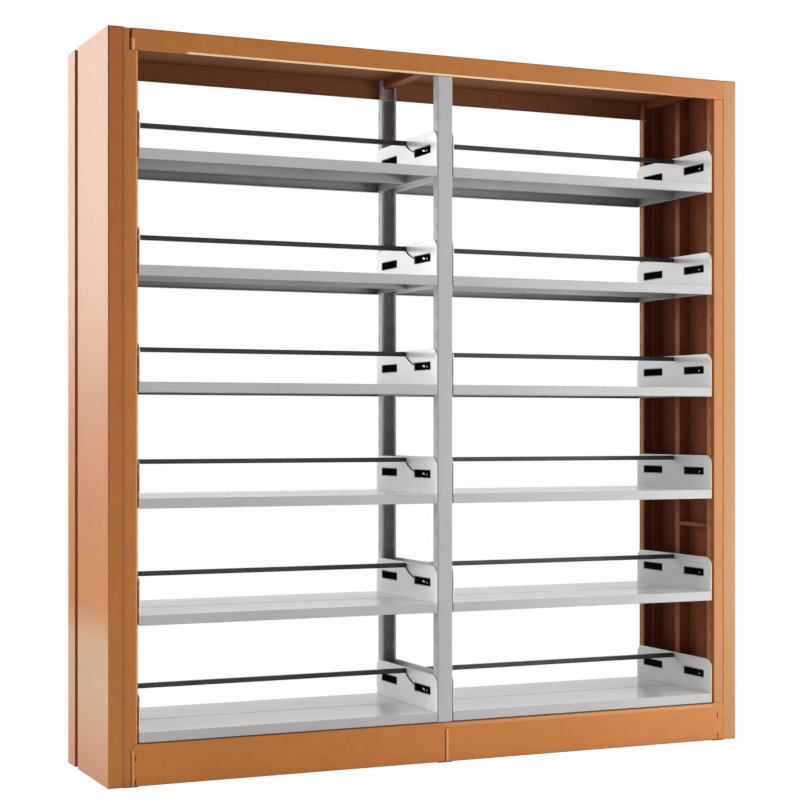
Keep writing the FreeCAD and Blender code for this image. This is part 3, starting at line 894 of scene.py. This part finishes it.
def slot_inserts(body):
    """A shelf unit's black inserts, a clip in every second one, and a tab where a rod ends."""
    inserts = bmesh.new()
    clips = bmesh.new()
    for inward, side, place, has_rod in window_places(body):
        merged(inserts, insert_shape(inward), place)
        sunk = -CLIP_SINK * inward
        if side == inward:
            offset = side * (WINDOW_LENGTH / 2 - CLIP_INSET)
            merged(clips, clip_shape(inward), place + Vector((sunk, offset, -CLIP_DROP)))
        if has_rod:
            offset = side * (WINDOW_LENGTH / 2 - TAB_INSET)
            merged(clips, tab_shape(side), place + Vector((sunk, offset, 0)))
    mesh_piece(body + "_slot_inserts", inserts, body, BLACK_PLASTIC)
    mesh_piece(body + "_insert_clips", clips, body, ZINC_PLATE)


# ---- bent rods from the book stops to the inserts ----
def rod_shape(points):
    """A round rod through points that lie in one plane along X, from rings bridged end to end."""
    shape = bmesh.new()
    rings = []
    for index, point in enumerate(points):
        ahead = points[min(index + 1, len(points) - 1)]
        behind = points[max(index - 1, 0)]
        outward = (ahead - behind).normalized().cross(Vector((1, 0, 0)))
        ring = []
        for step in range(STRUT_SIDES):
            angle = 2 * math.pi * step / STRUT_SIDES
            spoke = math.cos(angle) * Vector((1, 0, 0)) + math.sin(angle) * outward
            ring.append(shape.verts.new(point + STRUT_RADIUS * spoke))
        rings.append(ring)
    for first, second in zip(rings, rings[1:]):
        for step in range(STRUT_SIDES):
            following = (step + 1) % STRUT_SIDES
            shape.faces.new((first[step], first[following], second[following], second[step]))
    shape.faces.new(rings[0])
    shape.faces.new(rings[-1][::-1])
    bmesh.ops.recalc_face_normals(shape, faces=shape.faces)
    return shape


def stop_struts(body):
    """A curved rod ties the end of a book stop at the centre post to one of the inserts there."""
    stop_low, stop_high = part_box(body + "_book_stop")
    struts = bmesh.new()
    for inward, side, place, has_rod in window_places(body):
        if not has_rod:
            continue
        x = place.x + inward * STRUT_RADIUS
        start = Vector((x, side * stop_high.y * STRUT_START, stop_low.z + STRUT_RADIUS))
        end = Vector((x, place.y - side * WINDOW_LENGTH / 2, place.z + WINDOW_HEIGHT / 4))
        bend = Vector((x, start.y + (end.y - start.y) * STRUT_BEND,
                       end.z + (start.z - end.z) * STRUT_BEND))
        points = []
        for step in range(STRUT_STEPS + 1):
            share = step / STRUT_STEPS
            points.append(start.lerp(bend, share).lerp(bend.lerp(end, share), share))
        merged(struts, rod_shape(points), Vector((0, 0, 0)))
    mesh_piece(body + "_stop_struts", struts, body, STOP_GREY)


for body_name in frame["bodies"]:
    if body_name != "root":
        slot_inserts(body_name)
        stop_struts(body_name)


# ---- floor, lights and world ----
def white_rays(tree):
    """1 on camera, glossy and transmission rays, which see the studio as plain white."""
    path = tree.nodes.new("ShaderNodeLightPath")
    either = maths(tree, "MAXIMUM", path.outputs["Is Camera Ray"], path.outputs["Is Glossy Ray"])
    return maths(tree, "MAXIMUM", either, path.outputs["Is Transmission Ray"])


def studio_world():
    world = bpy.data.worlds.new("studio")
    world.use_nodes = True
    scene.world = world
    tree = world.node_tree
    background = tree.nodes["Background"]
    background.inputs["Color"].default_value = (1, 1, 1, 1)
    strength = maths(tree, "MULTIPLY_ADD", white_rays(tree), WHITE - AMBIENT, AMBIENT)
    tree.links.new(strength, background.inputs["Strength"])


def studio_floor():
    """A plain pale floor that shows only the object's soft shadow."""
    shape = bmesh.new()
    bmesh.ops.create_grid(shape, x_segments=1, y_segments=1, size=FLOOR_SIZE)
    mesh = bpy.data.meshes.new("floor")
    shape.to_mesh(mesh)
    shape.free()
    floor = bpy.data.objects.new("floor", mesh)
    scene.collection.objects.link(floor)
    material = bpy.data.materials.new("floor_paint")
    material.use_nodes = True
    tree = material.node_tree
    shader = tree.nodes["Principled BSDF"]
    shader.inputs["Base Color"].default_value = (*FLOOR_COLOUR, 1)
    shader.inputs["Roughness"].default_value = FLOOR_ROUGHNESS
    glow = tree.nodes.new("ShaderNodeEmission")
    mix = tree.nodes.new("ShaderNodeMixShader")
    share = maths(tree, "MULTIPLY", white_rays(tree), FLOOR_GLOW)
    tree.links.new(share, mix.inputs["Fac"])
    tree.links.new(shader.outputs["BSDF"], mix.inputs[1])
    tree.links.new(glow.outputs["Emission"], mix.inputs[2])
    tree.links.new(mix.outputs["Shader"], tree.nodes["Material Output"].inputs["Surface"])
    mesh.materials.append(material)


def new_lamp(name, kind, strength):
    data = bpy.data.lights.new(name, kind)
    data.energy = strength
    lamp = bpy.data.objects.new(name, data)
    scene.collection.objects.link(lamp)
    return lamp


def area_light(name, place, aim, width, height, power):
    lamp = new_lamp(name, "AREA", power)
    lamp.data.shape = "RECTANGLE"
    lamp.data.size = width
    lamp.data.size_y = height
    lamp.location = place
    towards = Vector(aim) - Vector(place)
    lamp.rotation_euler = towards.to_track_quat("-Z", "Y").to_euler()


studio_world()
studio_floor()
new_lamp("sun", "SUN", SUN_STRENGTH).data.angle = SUN_SPREAD
for settings in LAMPS:
    area_light(*settings)


# ---- camera ----
camera_data = bpy.data.cameras.new("camera")
camera_data.sensor_width = SENSOR
camera_data.lens = FOCAL_PIXELS / IMAGE_SIZE * SENSOR
camera_data.shift_x = (IMAGE_SIZE / 2 - PRINCIPAL_X) / IMAGE_SIZE
camera_data.shift_y = (PRINCIPAL_Y - IMAGE_SIZE / 2) / IMAGE_SIZE
camera_data.clip_end = CAMERA_REACH
camera = bpy.data.objects.new("camera", camera_data)
scene.collection.objects.link(camera)
camera.location = CAMERA_PLACE
camera.rotation_euler = (math.pi / 2, 0.0, CAMERA_YAW)
scene.camera = camera
